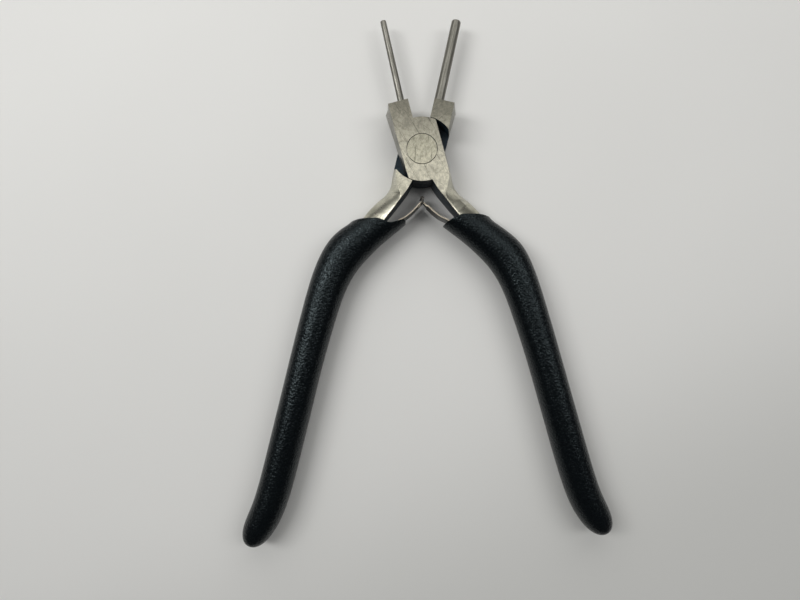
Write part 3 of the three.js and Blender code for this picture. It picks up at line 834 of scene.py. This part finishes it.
stand_for(
    grip("left_sleeve", GRIP_SLIP, LEFT_RIM, LEFT_SHOULDER, BACK),
    "left_grip", "back_half",
)
stand_for(
    grip("right_sleeve", -GRIP_SLIP, RIGHT_RIM, RIGHT_SHOULDER, FRONT),
    "right_grip", "front_half",
)


# ---- carried-over nodes ----

for cad in ("left_spring_rivet", "right_spring_rivet"):
    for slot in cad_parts[cad].material_slots:
        slot.material = SATIN


# ---- floor, light and camera ----

PAINTED_SHADOW_TURN = math.radians(68)   # turns the near right corner of the table, where the painted shadow falls, onto +X


def floor_material():
    """Pale table, with a painted shadow that darkens it towards its near right."""
    material, shader = new_material("pale_table_with_painted_shadow", Roughness=0.62)
    cloud = noise(material, object_place(material), 9, 2.0, 0.5)
    fine = noise(material, object_place(material), 900, 2.0, 0.5)
    base = ramp(material, cloud, [(0.35, (0.716, 0.713, 0.697)), (0.7, (0.741, 0.738, 0.722))])
    place = object_place(material, turn=PAINTED_SHADOW_TURN)
    # Painted shadow: the table is darkened towards its near right corner.
    painted_corner_shadow = fade(material, part_of(material, place, "X"), 65 * MM, 135 * MM)
    base = mix_colour(material, painted_corner_shadow, base, (0.625, 0.625, 0.608))
    link(material, base, shader.inputs["Base Color"])
    link(material, bump(material, fine, 0.02 * MM, 0.15), shader.inputs["Normal"])
    return material


deselect()
bpy.ops.mesh.primitive_plane_add(size=3.0, location=(0, 0, -0.02 * MM))
floor = bpy.context.object
floor.name = "floor"
floor.data.materials.append(floor_material())


def area_light(name, at, aim, size, power, colour, size_y=None):
    """A soft rectangular light, or a square one without size_y, that points at aim."""
    data = bpy.data.lights.new(name, "AREA")
    data.energy = power
    data.color = colour
    data.shape = "RECTANGLE" if size_y else "SQUARE"
    data.size = size
    if size_y:
        data.size_y = size_y
    made = bpy.data.objects.new(name, data)
    bpy.context.collection.objects.link(made)
    made.location = at
    made.rotation_euler = (Vector(aim) - Vector(at)).to_track_quat("-Z", "Y").to_euler()
    return made


WARM, SOFT, COOL = (1.0, 0.99, 0.965), (1.0, 0.99, 0.97), (1.0, 1.0, 0.99)
TABLE_POINT = (0, -0.02, 0)
PLAN_CENTRE = (0, 0, 0)
area_light("key", (0, 0.30, 0.26), TABLE_POINT, 0.56, 0.80, WARM, size_y=0.30)
area_light("overhead", (0, 0.11, 0.62), TABLE_POINT, 0.40, 0.24, SOFT, size_y=0.14)
area_light("left_panel", (-0.34, 0.07, 0.50), PLAN_CENTRE, 0.14, 1.50, COOL, size_y=0.34)
area_light("left_fill", (-0.56, 0.27, 0.46), PLAN_CENTRE, 0.30, 0.26, COOL)
area_light("right_panel", (0.34, 0.05, 0.50), PLAN_CENTRE, 0.14, 0.70, COOL, size_y=0.34)

world = bpy.data.worlds.new("studio")
bpy.context.scene.world = world
world.use_nodes = True
world.node_tree.nodes["Background"].inputs["Color"].default_value = (0.97, 0.98, 0.98, 1)
world.node_tree.nodes["Background"].inputs["Strength"].default_value = 0.11

camera_data = bpy.data.cameras.new("camera")
camera_data.lens = 24.975
camera_data.sensor_width = 36
camera_data.clip_start = 0.01
camera = bpy.data.objects.new("camera", camera_data)
bpy.context.collection.objects.link(camera)
camera.location = (-0.0068342, -0.0417121, 0.16382)
camera.rotation_euler = (0, 0, math.radians(-1.0))
bpy.context.scene.camera = camera

bpy.context.scene.view_settings.view_transform = "Standard"
